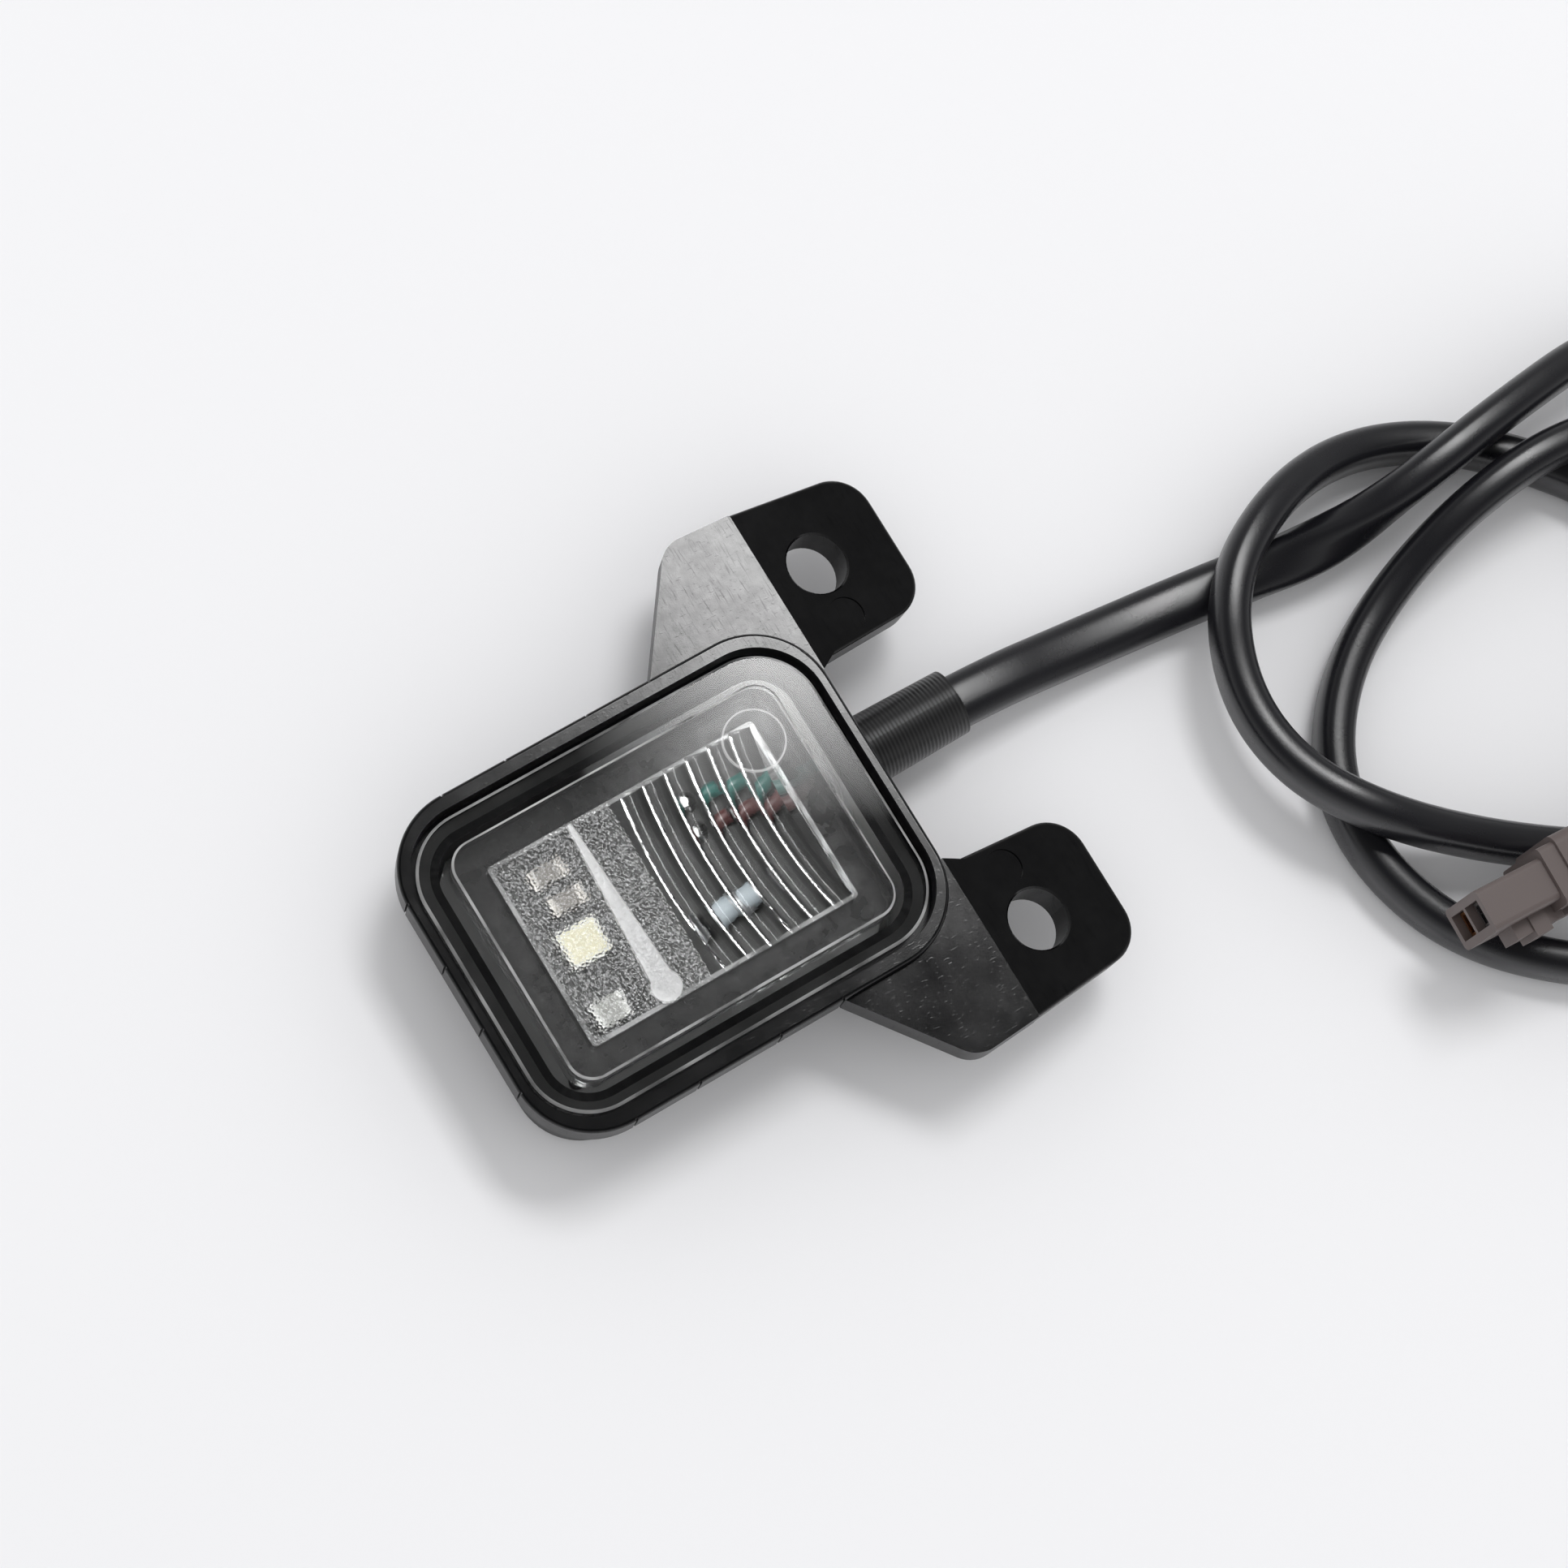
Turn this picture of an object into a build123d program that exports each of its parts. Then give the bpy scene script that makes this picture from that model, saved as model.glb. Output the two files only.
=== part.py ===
"""Number plate lamp: black housing with two folded ears, clear fluted lens, board and cable with connector.

Millimetres. The lamp lies on its back with the lens up. The origin is on the floor under the middle of the
rim, +X runs along the rim towards the cable and +Y towards one ear.
"""
import math
import os

from build123d import *

# Rim and housing
rim_length = 39.6
rim_width = 30.6
rim_corner = 6.8
rim_top = 11.0
rim_thickness = 3.0
body_inset = 1.2
body_edge = 1.0
rim_edge = 0.3
end_wall = 2.1
side_wall = 2.35
base_wall = 1.4
seam_size = 0.2
seam_places_x = (-12.8, -6.85, 0.75, 6.7)
seam_places_y = (-8.8, -2.9, 2.9, 8.8)

# Ears
ear_edge = 0.3
ear_thickness = 3.0
ear_drop = 1.0
fold_offset = 0.3
tab_fold = 11.4
tab_length = 11.95
tab_outer_root = 24.3
tab_outer_tip = 23.2
tab_inner_root = 9.9
tab_inner_tip = 10.5
tab_root_cut = 0.7
tab_root_run = 1.3
tab_corner = 3.4
web_start = 7.0
web_corner_x = 14.0
web_corner = 2.6
web_rise = 0.4
hole_diameter = 5.3
hole_reach = 4.6
hole_spacing = 34.7
hole_edge = 0.15
ejector_diameter = 3.3
ejector_depth = 0.12
ejector_reach = 4.35
ejector_y = 12.35

# Lens
groove = 0.5
lens_drop = 0.6
lens_flange = 1.6
plug_gap_x = 1.2
plug_gap_y = 0.75
platform_corner = 2.2
platform_height = 0.5
platform_edge = 0.2
lens_depth = 3.6
skirt_x = 2.7
skirt_y = 2.5
window_corner = 0.5
roof = 1.6
flute_count = 6
flute_pitch = 2.04
flute_first = 0.07
flange_edge = 0.25
flute_arc = 47.0
flute_height = 0.45
flute_half_width = 0.96
flute_gap = 0.25
bar_x = -4.9
bar_narrow = 0.4
bar_wide = 2.0
bar_height = 0.7
knob_diameter = 2.6
knob_gap = 0.2
bar_gap = 0.2
pad_diameter = 5.3
pad_rise = 0.12
pad_place = (11.6, 6.7)

# Sealing ring
seal_width = 0.9
seal_height = 0.8
seal_inset = 0.7

# Board and what it carries
board_gap = 0.3
board_cut = 2.0
board_thickness = 1.0
board_height = 3.1
post_diameter = 2.6
post_inset_x = 2.0
post_inset_y = 2.0
pin_diameter = 1.2
pin_clearance = 0.1
pin_proud = 0.4
led_x = -8.0
led_length = 3.6
led_width = 3.2
led_height = 0.85
led_wall = 0.25
phosphor_depth = 0.4
chip_length = 3.2
chip_width = 1.6
chip_height = 0.6
chip_edge = 0.12
resistor_upper_place = (-7.6, 6.4)
resistor_lower_place = (-7.3, 3.7)
capacitor_place = (-9.0, -5.9)
capacitor_size = (3.0, 2.2, 1.1)
diode_place = (3.8, -3.6)
diode_length = 5.0
diode_diameter = 2.4
diode_cap = 1.1
diode_neck = 0.15

# Cable, sleeve and cores
cable_diameter = 4.0
sleeve_y = 2.4
sleeve_z = 4.75
sleeve_bore = 4.8
sleeve_root = 6.2
sleeve_tip = 5.8
sleeve_end = 29.4
sleeve_neck = 5.6
sleeve_fit = 0.1
sleeve_collar = 6.6
collar_thickness = 0.8
cable_straight = 6.0
core_diameter = 1.3
core_pitch = 1.5
core_bend = 2.0
joint_diameter = 1.9
joint_height = 1.0
joint_gap = 0.05
joint_taper = 25

# Connector
nose_width = 3.8
nose_height = 6.2
nose_length = 6.8
collar_width = 5.2
collar_height = 7.0
collar_length = 1.6
shell_width = 6.2
shell_height = 7.6
shell_length = 9.0
cavity_size = 2.3
cavity_pitch = 2.7
contact_fit = 0.08
contact_wall = 0.25
contact_length = 8.0
contact_set_back = 0.8
seal_bore = 5.2
seal_length = 4.0
lock_length = 4.0
lock_height = 2.4
lock_depth = 1.2
lock_back = 3.2
lock_proud = 0.2
lock_fit = 0.1
latch_length = 4.9
latch_width = 2.6
latch_rise = 1.3
latch_start = 2.6
latch_step = 0.5
nose_edge = 0.5
connector_nose = (55.2, -35.7, 11.4)
connector_yaw = -3.0
connector_pitch = 8.0

# Sizes worked out from the ones above
body_length = rim_length - 2 * body_inset
body_width = rim_width - 2 * body_inset
body_corner = rim_corner - body_inset
cavity_length = body_length - 2 * end_wall
cavity_width = body_width - 2 * side_wall
cavity_corner = body_corner - end_wall
recess_wall_x = 0.8
recess_wall_y = 1.25
recess_length = rim_length - 2 * recess_wall_x
recess_width = rim_width - 2 * recess_wall_y
recess_corner = rim_corner - recess_wall_x
lens_length = recess_length - 2 * groove
lens_width = recess_width - 2 * groove
lens_corner = recess_corner - groove
flange_top = rim_top - lens_drop
ledge = flange_top - lens_flange
platform_length = cavity_length - 2 * plug_gap_x
platform_width = cavity_width - 2 * plug_gap_y
window_length = platform_length - 2 * skirt_x
window_width = platform_width - 2 * skirt_y
knob_y = -window_width / 2 + knob_diameter / 2 + knob_gap
bar_top_y = window_width / 2 - bar_gap
lens_bottom = flange_top - lens_depth
roof_bottom = flange_top + platform_height - roof
web_top = rim_top - ear_drop
fold_x = rim_length / 2 + fold_offset
board_top = board_height + board_thickness
sleeve_start = cavity_length / 2 - collar_thickness
board_end = sleeve_start - board_gap
board_start = -cavity_length / 2 + board_gap
board_length = board_end - board_start
board_middle = (board_end + board_start) / 2
board_width = cavity_width - 2 * board_gap

tab_plane = Plane(
    origin=(fold_x, 0, web_top),
    x_dir=(math.cos(math.radians(tab_fold)), 0, -math.sin(math.radians(tab_fold))),
    z_dir=(math.sin(math.radians(tab_fold)), 0, math.cos(math.radians(tab_fold))),
)

os.makedirs("parts", exist_ok=True)


def finish(piece, name):
    """Label a finished piece and write it."""
    piece.part.label = name
    export_step(piece.part, f"parts/{name}.step")


# Housing: body box, rim flange, webs and folded tabs, then the hollows and holes
with BuildPart() as housing:
    with BuildSketch(Plane.XY):
        RectangleRounded(body_length, body_width, body_corner)
    extrude(amount=rim_top - rim_thickness)
    fillet(housing.faces().sort_by(Axis.Z)[0].edges(), radius=body_edge)
    with BuildSketch(Plane.XY.offset(rim_top - rim_thickness)):
        RectangleRounded(rim_length, rim_width, rim_corner)
    extrude(amount=rim_thickness)
    fillet(housing.faces().sort_by(Axis.Z)[-1].edges(), radius=rim_edge)
    # Webs beside the two long sides, level with each other
    with BuildSketch(Plane.XY.offset(web_top - ear_thickness)) as webs:
        with BuildLine():
            Polyline(
                (web_start, rim_width / 2 - recess_wall_y),
                (web_start, rim_width / 2),
                (web_corner_x, tab_outer_root + web_rise),
                (fold_x, tab_outer_root),
                (fold_x, tab_inner_root - tab_root_cut),
                (fold_x - 2 * fold_offset, tab_inner_root - tab_root_cut),
                close=True,
            )
        make_face()
        fillet(webs.vertices().sort_by(Axis.Y)[-1:], radius=web_corner)
        mirror(about=Plane.XZ)
    extrude(amount=ear_thickness)
    # Tabs, folded down about the line that continues the rim's short side
    with BuildSketch(tab_plane) as tabs:
        with BuildLine():
            Polyline(
                (0, tab_inner_root - tab_root_cut),
                (tab_root_run, tab_inner_root),
                (tab_length, tab_inner_tip),
                (tab_length, tab_outer_tip),
                (0, tab_outer_root),
                close=True,
            )
        make_face()
        fillet(tabs.vertices().sort_by(Axis.X)[-2:], radius=tab_corner)
        mirror(about=Plane.XZ)
    extrude(amount=-ear_thickness)
    # Rounded outline of the tabs on both faces
    tab_faces = housing.faces().filter_by(Axis((0, 0, 0), tuple(tab_plane.z_dir)))
    tab_edges = tab_faces.edges().filter_by(lambda edge: edge.center().X > fold_x + tab_root_run)
    fillet(tab_edges, radius=ear_edge)
    # Lens recess and the hollow under it
    with BuildSketch(Plane.XY.offset(rim_top)):
        RectangleRounded(recess_length, recess_width, recess_corner)
    extrude(amount=ledge - rim_top, mode=Mode.SUBTRACT)
    with BuildSketch(Plane.XY.offset(ledge)):
        RectangleRounded(cavity_length, cavity_width, cavity_corner)
    extrude(amount=base_wall - ledge, mode=Mode.SUBTRACT)
    # Channel for the sealing ring
    with BuildSketch(Plane.XY.offset(ledge)):
        RectangleRounded(
            cavity_length + 2 * (seal_inset + seal_width),
            cavity_width + 2 * (seal_inset + seal_width),
            cavity_corner + seal_inset + seal_width,
        )
        RectangleRounded(
            cavity_length + 2 * seal_inset,
            cavity_width + 2 * seal_inset,
            cavity_corner + seal_inset,
            mode=Mode.SUBTRACT,
        )
    extrude(amount=-seal_height, mode=Mode.SUBTRACT)
    # Posts that carry the board, two of them with a pin through it
    post_spacing_x = board_length - 2 * post_inset_x
    post_spacing_y = board_width - 2 * post_inset_y
    with BuildSketch(Plane.XY.offset(base_wall)):
        with Locations((board_middle, 0)):
            with GridLocations(post_spacing_x, post_spacing_y, 2, 2):
                Circle(post_diameter / 2)
    extrude(amount=board_height - base_wall)
    pin_places = (
        (board_middle - post_spacing_x / 2, -post_spacing_y / 2),
        (board_middle + post_spacing_x / 2, -post_spacing_y / 2),
    )
    with BuildSketch(Plane.XY.offset(board_height)):
        with Locations(*pin_places):
            Circle(pin_diameter / 2)
    extrude(amount=board_thickness + pin_proud)
    # Cable hole in the end wall
    with BuildSketch(Plane.YZ.offset(sleeve_start)):
        with Locations((sleeve_y, sleeve_z)):
            Circle(sleeve_neck / 2 + sleeve_fit)
    extrude(amount=body_length / 2 - sleeve_start + body_inset / 2, mode=Mode.SUBTRACT)
    # Screw holes with broken edges
    with BuildSketch(tab_plane):
        with Locations((hole_reach, hole_spacing / 2), (hole_reach, -hole_spacing / 2)):
            Circle(hole_diameter / 2)
    extrude(amount=-2 * ear_thickness, mode=Mode.SUBTRACT)
    with BuildSketch(tab_plane):
        with Locations((hole_reach, hole_spacing / 2), (hole_reach, -hole_spacing / 2)):
            Circle(hole_diameter / 2 + hole_edge)
    extrude(amount=-hole_edge, taper=45, mode=Mode.SUBTRACT)
    # Ejector pin marks
    with BuildSketch(tab_plane):
        with Locations((ejector_reach, ejector_y), (ejector_reach, -ejector_y)):
            Circle(ejector_diameter / 2)
    extrude(amount=-ejector_depth, mode=Mode.SUBTRACT)
    # Fine mould seams across the rim's outer wall
    with BuildSketch(Plane.XY.offset(rim_top)):
        for place in seam_places_x:
            with Locations((place, rim_width / 2), (place, -rim_width / 2)):
                Rectangle(seam_size, 2 * seam_size)
        for place in seam_places_y:
            with Locations((-rim_length / 2, place)):
                Rectangle(2 * seam_size, seam_size)
    extrude(amount=-rim_thickness, mode=Mode.SUBTRACT)
finish(housing, "housing")

# Sealing ring in its channel, flush with the ledge
with BuildPart() as lens_seal:
    with BuildSketch(Plane.XY.offset(ledge - seal_height)):
        RectangleRounded(
            cavity_length + 2 * (seal_inset + seal_width),
            cavity_width + 2 * (seal_inset + seal_width),
            cavity_corner + seal_inset + seal_width,
        )
        RectangleRounded(
            cavity_length + 2 * seal_inset,
            cavity_width + 2 * seal_inset,
            cavity_corner + seal_inset,
            mode=Mode.SUBTRACT,
        )
    extrude(amount=seal_height)
finish(lens_seal, "lens_seal")

# Lens: flange, raised platform and plug, hollowed from below, with flutes and a tapered bar under its roof
flute_centre = flute_first + flute_arc
with BuildPart() as lens:
    with BuildSketch(Plane.XY.offset(ledge)):
        RectangleRounded(lens_length, lens_width, lens_corner)
    extrude(amount=lens_flange)
    chamfer(lens.faces().sort_by(Axis.Z)[-1].edges(), length=flange_edge)
    with BuildSketch(Plane.XY.offset(lens_bottom)):
        RectangleRounded(platform_length, platform_width, platform_corner)
    extrude(amount=lens_depth + platform_height)
    chamfer(lens.faces().sort_by(Axis.Z)[-1].edges(), length=platform_edge)
    with BuildSketch(Plane.XY.offset(lens_bottom)):
        RectangleRounded(window_length, window_width, window_corner)
    extrude(amount=roof_bottom - lens_bottom, mode=Mode.SUBTRACT)
    for number in range(flute_count):
        flute_radius = flute_arc - number * flute_pitch
        flute_reach = window_width / 2 - flute_gap
        swing = math.degrees(math.asin(flute_reach / flute_radius))
        start = Plane(
            origin=(
                flute_centre - flute_radius * math.cos(math.radians(swing)),
                flute_radius * math.sin(math.radians(swing)),
                roof_bottom,
            ),
            x_dir=(-math.cos(math.radians(swing)), math.sin(math.radians(swing)), 0),
            z_dir=(-math.sin(math.radians(swing)), -math.cos(math.radians(swing)), 0),
        )
        with BuildSketch(start):
            with BuildLine():
                ThreePointArc((-flute_half_width, 0), (0, flute_height), (flute_half_width, 0))
                Line((flute_half_width, 0), (-flute_half_width, 0))
            make_face()
        revolve(axis=Axis((flute_centre, 0, roof_bottom), (0, 0, 1)), revolution_arc=2 * swing)
    with BuildSketch(Plane.XY.offset(roof_bottom)):
        with BuildLine():
            Polyline(
                (bar_x - bar_wide / 2, knob_y),
                (bar_x + bar_wide / 2, knob_y),
                (bar_x + bar_narrow / 2, bar_top_y),
                (bar_x - bar_narrow / 2, bar_top_y),
                close=True,
            )
        make_face()
        with Locations((bar_x, knob_y)):
            Circle(knob_diameter / 2)
    extrude(amount=-bar_height)
    # Bare round pad on the outside
    with BuildSketch(Plane.XY.offset(flange_top + platform_height)):
        with Locations(pad_place):
            Circle(pad_diameter / 2)
    extrude(amount=pad_rise)
finish(lens, "lens")

# Circuit board on the posts, with two pin holes
with BuildPart() as circuit_board:
    with BuildSketch(Plane.XY.offset(board_height)) as outline:
        with Locations((board_middle, 0)):
            Rectangle(board_length, board_width)
        chamfer(outline.vertices(), length=board_cut)
        with Locations(*pin_places):
            Circle(pin_diameter / 2 + pin_clearance, mode=Mode.SUBTRACT)
    extrude(amount=board_thickness)
finish(circuit_board, "circuit_board")

# Light source: white package with a shallow well, and the phosphor that fills the well
well_length = led_length - 2 * led_wall
well_width = led_width - 2 * led_wall
with BuildPart() as led_package:
    with BuildSketch(Plane.XY.offset(board_top)):
        with Locations((led_x, 0)):
            Rectangle(led_length, led_width)
    extrude(amount=led_height)
    with BuildSketch(Plane.XY.offset(board_top + led_height)):
        with Locations((led_x, 0)):
            Rectangle(well_length, well_width)
    extrude(amount=-phosphor_depth, mode=Mode.SUBTRACT)
finish(led_package, "led_package")

with BuildPart() as led_phosphor:
    with BuildSketch(Plane.XY.offset(board_top + led_height - phosphor_depth)):
        with Locations((led_x, 0)):
            Rectangle(well_length, well_width)
    extrude(amount=phosphor_depth)
finish(led_phosphor, "led_phosphor")

# Chip resistors beside the light source
for chip_name, chip_place in (
    ("resistor_upper", resistor_upper_place),
    ("resistor_lower", resistor_lower_place),
):
    with BuildPart() as chip:
        with BuildSketch(Plane.XY.offset(board_top)):
            with Locations(chip_place):
                Rectangle(chip_length, chip_width)
        extrude(amount=chip_height)
        fillet(chip.edges().filter_by(Axis.Y), radius=chip_edge)
    finish(chip, chip_name)

# Ceramic capacitor
with BuildPart() as capacitor:
    with BuildSketch(Plane.XY.offset(board_top)):
        with Locations(capacitor_place):
            Rectangle(capacitor_size[0], capacitor_size[1])
    extrude(amount=capacitor_size[2])
    fillet(capacitor.edges().filter_by(Axis.Y), radius=chip_edge)
finish(capacitor, "capacitor")

# Cylindrical diode with two end caps, lying on the board
diode_axis_height = board_top + diode_diameter / 2
with BuildPart() as diode:
    with BuildSketch(Plane.XZ.offset(-diode_place[1])):
        with BuildLine():
            Polyline(
                (diode_place[0] - diode_length / 2, diode_axis_height),
                (diode_place[0] - diode_length / 2, board_top + diode_diameter),
                (diode_place[0] - diode_length / 2 + diode_cap, board_top + diode_diameter),
                (diode_place[0] - diode_length / 2 + diode_cap, board_top + diode_diameter - diode_neck),
                (diode_place[0] + diode_length / 2 - diode_cap, board_top + diode_diameter - diode_neck),
                (diode_place[0] + diode_length / 2 - diode_cap, board_top + diode_diameter),
                (diode_place[0] + diode_length / 2, board_top + diode_diameter),
                (diode_place[0] + diode_length / 2, diode_axis_height),
                close=True,
            )
        make_face()
    revolve(axis=Axis((0, diode_place[1], diode_axis_height), (1, 0, 0)))
finish(diode, "diode")

# Strain relief: collar inside the wall, neck through it and a tapered sleeve outside
sleeve_plane = Plane(origin=(0, sleeve_y, sleeve_z), x_dir=(1, 0, 0), z_dir=(0, -1, 0))
with BuildPart() as cable_sleeve:
    with BuildSketch(sleeve_plane):
        with BuildLine():
            Polyline(
                (sleeve_start, sleeve_bore / 2),
                (sleeve_start, sleeve_collar / 2),
                (cavity_length / 2, sleeve_collar / 2),
                (cavity_length / 2, sleeve_neck / 2),
                (body_length / 2, sleeve_neck / 2),
                (body_length / 2, sleeve_root / 2),
                (sleeve_end, sleeve_tip / 2),
                (sleeve_end, sleeve_bore / 2),
                close=True,
            )
        make_face()
    revolve(axis=Axis((0, sleeve_y, sleeve_z), (1, 0, 0)))
finish(cable_sleeve, "cable_sleeve")

# Insulated cores from the cable's end to their solder joints, lying on the board
core_height = board_top + core_diameter / 2
core_routes = {
    "core_green": (
        (sleeve_start, sleeve_y + core_pitch / 2),
        (12.6, sleeve_y + core_pitch / 2),
        (9.6, 5.2),
        (6.8, 5.9),
    ),
    "core_red": (
        (sleeve_start, sleeve_y - core_pitch / 2),
        (12.6, sleeve_y - core_pitch / 2),
        (9.4, 2.9),
        (6.8, 3.3),
    ),
}
for core_name, route in core_routes.items():
    points = [(x, y, core_height) for x, y in route]
    with BuildPart() as core:
        with BuildLine() as core_line:
            FilletPolyline(*points, radius=core_bend)
        with BuildSketch(Plane(core_line.line ^ 0)):
            Circle(core_diameter / 2)
        sweep()
    finish(core, core_name)

# Solder joints against the ends of the cores
with BuildPart() as solder_joints:
    for core_name, route in core_routes.items():
        end_x, end_y = route[-1]
        with BuildSketch(Plane.XY.offset(board_top)):
            with Locations((end_x - joint_diameter / 2 - joint_gap, end_y)):
                Circle(joint_diameter / 2)
        extrude(amount=joint_height, taper=joint_taper)
finish(solder_joints, "solder_joints")

# Cable: from the sleeve in a loose lead and two loose loops to the connector's back
connector_x = (
    math.cos(math.radians(connector_yaw)) * math.cos(math.radians(connector_pitch)),
    math.sin(math.radians(connector_yaw)) * math.cos(math.radians(connector_pitch)),
    -math.sin(math.radians(connector_pitch)),
)
connector_side = (
    -math.sin(math.radians(connector_yaw)),
    math.cos(math.radians(connector_yaw)),
    0,
)
connector_plane = Plane(origin=connector_nose, x_dir=connector_side, z_dir=connector_x)
connector_length = nose_length + collar_length + shell_length
cable_end = tuple(
    start + (connector_length - seal_length) * share for start, share in zip(connector_nose, connector_x)
)
cable_turn = tuple(
    start + (connector_length + cable_straight) * share for start, share in zip(connector_nose, connector_x)
)
cable_route = (
    (sleeve_start, sleeve_y, sleeve_z),
    (30.5, 2.4, 4.75),
    (43.0, 1.5, 2.5),
    (55.5, 0.2, 2.3),
    (65.5, -1.6, 3.8),
    (74.5, -1.0, 7.3),
    (84.5, 0.5, 7.4),
    (96.0, 1.8, 5.6),
    (107.5, 0.2, 2.9),
    (117.0, -7.5, 2.3),
    (121.0, -19.0, 2.4),
    (118.0, -31.0, 2.3),
    (109.5, -40.5, 2.4),
    (98.0, -46.8, 2.3),
    (85.5, -49.6, 2.4),
    (73.5, -48.2, 2.3),
    (63.8, -42.8, 2.4),
    (56.8, -35.4, 2.3),
    (54.0, -26.6, 2.4),
    (55.2, -18.6, 2.3),
    (60.6, -11.8, 2.5),
    (68.4, -7.5, 3.2),
    (77.4, -4.9, 6.6),
    (88.0, -4.1, 7.3),
    (98.5, -7.0, 5.4),
    (106.0, -14.2, 2.7),
    (107.6, -24.4, 2.3),
    (102.4, -33.2, 2.4),
    (93.0, -38.8, 2.3),
    (82.6, -40.0, 2.4),
    (72.8, -36.6, 2.7),
    (63.6, -30.8, 4.2),
    (55.4, -24.4, 7.2),
    (51.0, -17.0, 6.7),
    (50.7, -8.8, 6.4),
    (54.6, -0.8, 7.1),
    (62.6, 3.8, 6.2),
    (71.6, 5.0, 3.4),
    (80.0, 2.0, 2.3),
    (86.6, -4.0, 2.4),
    (91.8, -11.2, 2.6),
    (94.4, -20.0, 3.5),
    (92.9, -28.8, 5.4),
    (86.6, -35.0, 7.2),
    cable_turn,
    cable_end,
)
cable_share = 0.45
cable_points = [Vector(*point) for point in cable_route]
cable_radii = []
for before, here, after in zip(cable_points, cable_points[1:], cable_points[2:]):
    turn = math.radians((here - before).get_angle(after - here))
    shorter = min((here - before).length, (after - here).length)
    cable_radii.append(cable_share * shorter / math.tan(turn / 2))
with BuildPart() as cable:
    with BuildLine() as cable_line:
        FilletPolyline(*cable_points, radius=cable_radii)
    with BuildSketch(Plane(cable_line.line ^ 0)):
        Circle(cable_diameter / 2)
    sweep()
finish(cable, "cable")
cable_length = sum(edge.length for edge in cable_line.edges())
print("cable radii", " ".join(f"{radius:.1f}" for radius in cable_radii))
print("cable length", round(cable_length, 1))
cable_section = math.pi * cable_diameter**2 / 4
print("volume against section times length", cable.part.volume / (cable_section * cable_length))

# Connector body: nose, collar and rear shell with two stacked cavities, a lock slot and a latch
cavity_depth = connector_length - seal_length
with BuildPart() as connector_housing:
    with BuildSketch(connector_plane):
        RectangleRounded(nose_width, nose_height, nose_edge)
    extrude(amount=nose_length)
    with BuildSketch(connector_plane.offset(nose_length)):
        RectangleRounded(collar_width, collar_height, nose_edge)
    extrude(amount=collar_length)
    with BuildSketch(connector_plane.offset(nose_length + collar_length)):
        RectangleRounded(shell_width, shell_height, 2 * nose_edge)
    extrude(amount=shell_length)
    # Latch along the lower side: a raised tongue with a thicker step at its middle
    latch_root = nose_width / 2 - latch_step
    with BuildSketch(connector_plane.offset(latch_start)):
        with Locations((-latch_root, -latch_step)):
            Rectangle(latch_rise + latch_step, latch_width, align=(Align.MAX, Align.CENTER))
    extrude(amount=latch_length)
    with BuildSketch(connector_plane.offset(latch_start + latch_length / 3)):
        with Locations((-latch_root, -latch_step)):
            Rectangle(latch_rise + 2 * latch_step, latch_width + latch_step, align=(Align.MAX, Align.CENTER))
    extrude(amount=latch_length / 3)
    with BuildSketch(connector_plane):
        with Locations((0, cavity_pitch / 2), (0, -cavity_pitch / 2)):
            Rectangle(cavity_size, cavity_size)
    extrude(amount=cavity_depth, mode=Mode.SUBTRACT)
    with BuildSketch(connector_plane.offset(cavity_depth)):
        Circle(seal_bore / 2)
    extrude(amount=seal_length, mode=Mode.SUBTRACT)
    lock_place = (0, shell_height / 2, nose_length + collar_length + lock_back)
    lock_plane = Plane(
        origin=connector_plane.from_local_coords(lock_place),
        x_dir=connector_x,
        z_dir=connector_plane.y_dir,
    )
    with BuildSketch(lock_plane):
        Rectangle(lock_length, lock_height)
    extrude(amount=-lock_depth, mode=Mode.SUBTRACT)
finish(connector_housing, "connector_housing")

# Lock piece in the side slot
with BuildPart() as connector_lock:
    with BuildSketch(lock_plane.offset(-lock_depth)):
        Rectangle(lock_length - 2 * lock_fit, lock_height - 2 * lock_fit)
    extrude(amount=lock_depth + lock_proud)
finish(connector_lock, "connector_lock")

# Contacts: folded box sections in the two cavities
contact_outer = cavity_size - 2 * contact_fit
for contact_name, level in (("contact_upper", 1), ("contact_lower", -1)):
    with BuildPart() as contact:
        with BuildSketch(connector_plane.offset(contact_set_back)):
            with Locations((0, level * cavity_pitch / 2)):
                Rectangle(contact_outer, contact_outer)
                Rectangle(
                    contact_outer - 2 * contact_wall,
                    contact_outer - 2 * contact_wall,
                    mode=Mode.SUBTRACT,
                )
        extrude(amount=contact_length)
    finish(contact, contact_name)

# Rubber ring that seals the cable in the connector's back
with BuildPart() as wire_seal:
    with BuildSketch(connector_plane.offset(cavity_depth)):
        Circle(seal_bore / 2)
        Circle(cable_diameter / 2 + sleeve_fit, mode=Mode.SUBTRACT)
    extrude(amount=seal_length)
finish(wire_seal, "wire_seal")
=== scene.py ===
"""Number plate lamp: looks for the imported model, laid out as an add-on.

Lengths are in metres in the row frame, or in millimetres where a comment says so. The floor is z = 0 and
+X runs along the rim towards the cable.
"""

import math

import bpy
import numpy as np
from mathutils import Matrix


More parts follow.
